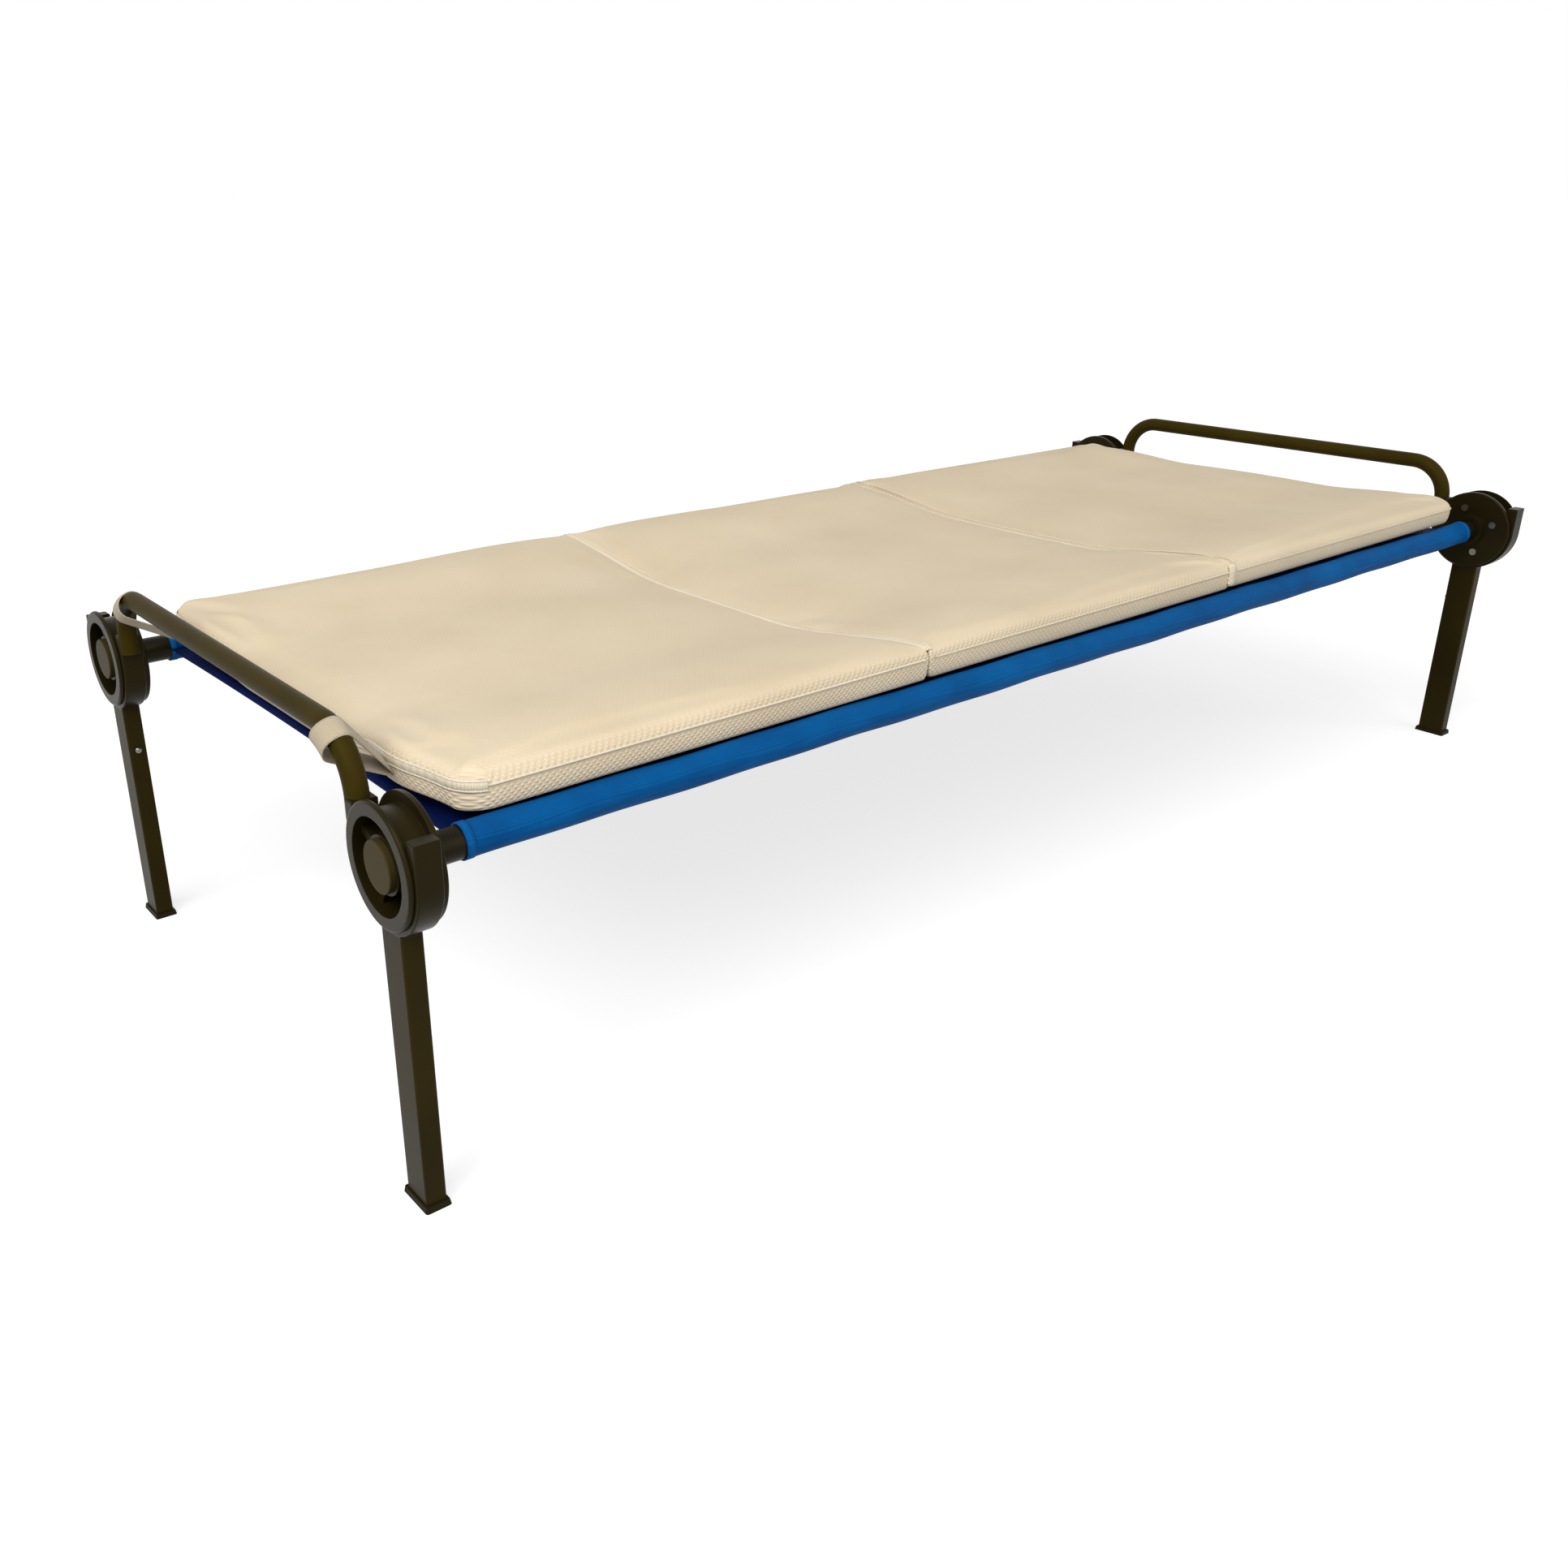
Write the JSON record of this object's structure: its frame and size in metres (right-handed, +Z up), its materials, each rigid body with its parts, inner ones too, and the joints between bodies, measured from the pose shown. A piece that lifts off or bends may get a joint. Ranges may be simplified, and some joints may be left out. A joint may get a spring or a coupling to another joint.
{
  "type": "folding cot",
  "caption": "Single camp cot with disc-cornered end frames that lift off round side rails, a sleeved cloth deck and a fold-up foam pad.",
  "frame": {"origin": "on the floor, under the middle of the cot", "axes": "+Z up, +X along the bed towards the head end, +Y to the right of someone lying on it"},
  "size_m": [2.027, 0.8776, 0.4701],
  "materials": {
    "bar_coat": "satin powder coat",
    "housing_coat": "moulded, satin",
    "cap_plastic": "moulded, satin",
    "foot_plastic": "moulded, matt",
    "zinc": "zinc plated",
    "deck_cloth": "woven, coated",
    "pad_knit": "bubble knit",
    "foam": "open cell foam",
    "strap_webbing": "woven webbing"
  },
  "bodies": {
    "deck": {"side_rail_foot_left": "bar_coat", "rail_disc_foot_left": "housing_coat", "hub_cap_foot_left": "cap_plastic", "side_rail_foot_right": "bar_coat", "rail_disc_foot_right": "housing_coat", "hub_cap_foot_right": "cap_plastic", "side_rail_head_left": "bar_coat", "rail_disc_head_left": "housing_coat", "hub_cap_head_left": "cap_plastic", "side_rail_head_right": "bar_coat", "rail_disc_head_right": "housing_coat", "hub_cap_head_right": "cap_plastic", "rail_splice_left": "bar_coat", "pad_strap_left": "strap_webbing", "rail_splice_right": "bar_coat", "pad_strap_right": "strap_webbing", "disc_rivets": "zinc", "deck_sheet": "deck_cloth", "pad_cover_foot": "pad_knit", "pad_foam_foot": "foam"},
    "foot_frame": {"foot_end_bar": "bar_coat", "corner_housing_foot_left": "housing_coat", "leg_stub_foot_left": "bar_coat", "leg_foot_left": "bar_coat", "foot_cap_foot_left": "foot_plastic", "button_spring_foot_left": "zinc", "corner_housing_foot_right": "housing_coat", "leg_stub_foot_right": "bar_coat", "leg_foot_right": "bar_coat", "foot_cap_foot_right": "foot_plastic", "button_spring_foot_right": "zinc"},
    "head_frame": {"head_end_bar": "bar_coat", "corner_housing_head_left": "housing_coat", "leg_stub_head_left": "bar_coat", "leg_head_left": "bar_coat", "foot_cap_head_left": "foot_plastic", "button_spring_head_left": "zinc", "corner_housing_head_right": "housing_coat", "leg_stub_head_right": "bar_coat", "leg_head_right": "bar_coat", "foot_cap_head_right": "foot_plastic", "button_spring_head_right": "zinc"},
    "pad_middle": {"pad_cover_middle": "pad_knit", "pad_foam_middle": "foam"},
    "pad_head": {"pad_cover_head": "pad_knit", "pad_foam_head": "foam"},
    "button_foot_left": {"snap_button_foot_left": "zinc"},
    "button_foot_right": {"snap_button_foot_right": "zinc"},
    "button_head_left": {"snap_button_head_left": "zinc"},
    "button_head_right": {"snap_button_head_right": "zinc"}
  },
  "joints": [
    {"name": "foot_frame_drop", "type": "slide", "parent": "deck", "child": "foot_frame", "axis": [0, 0, -1], "range_m": [0, 0.112], "deforming": ["pad_strap_left", "pad_strap_right"]},
    {"name": "head_frame_drop", "type": "slide", "parent": "deck", "child": "head_frame", "axis": [0, 0, -1], "range_m": [0, 0.112]},
    {"name": "pad_fold", "type": "hinge", "parent": "deck", "child": "pad_middle", "pos_m": [-0.322, 0, 0.4244], "axis": [0, -1, 0], "range_deg": [0, 180]},
    {"name": "pad_fold_back", "type": "hinge", "parent": "pad_middle", "child": "pad_head", "pos_m": [0.28, 0, 0.3618], "axis": [0, 1, 0], "range_deg": [0, 180]},
    {"name": "button_press_foot_left", "type": "slide", "parent": "foot_frame", "child": "button_foot_left", "axis": [0, -1, 0], "range_m": [0, 0.0042], "stiffness_N_per_m": 900, "deforming": ["button_spring_foot_left"]},
    {"name": "button_press_foot_right", "type": "slide", "parent": "foot_frame", "child": "button_foot_right", "axis": [0, 1, 0], "range_m": [0, 0.0042], "stiffness_N_per_m": 900, "deforming": ["button_spring_foot_right"]},
    {"name": "button_press_head_left", "type": "slide", "parent": "head_frame", "child": "button_head_left", "axis": [0, -1, 0], "range_m": [0, 0.0042], "stiffness_N_per_m": 900, "deforming": ["button_spring_head_left"]},
    {"name": "button_press_head_right", "type": "slide", "parent": "head_frame", "child": "button_head_right", "axis": [0, 1, 0], "range_m": [0, 0.0042], "stiffness_N_per_m": 900, "deforming": ["button_spring_head_right"]}
  ],
  "couplings": [
    {"joint": "pad_fold_back", "follows": "pad_fold", "ratio": 1}
  ]
}
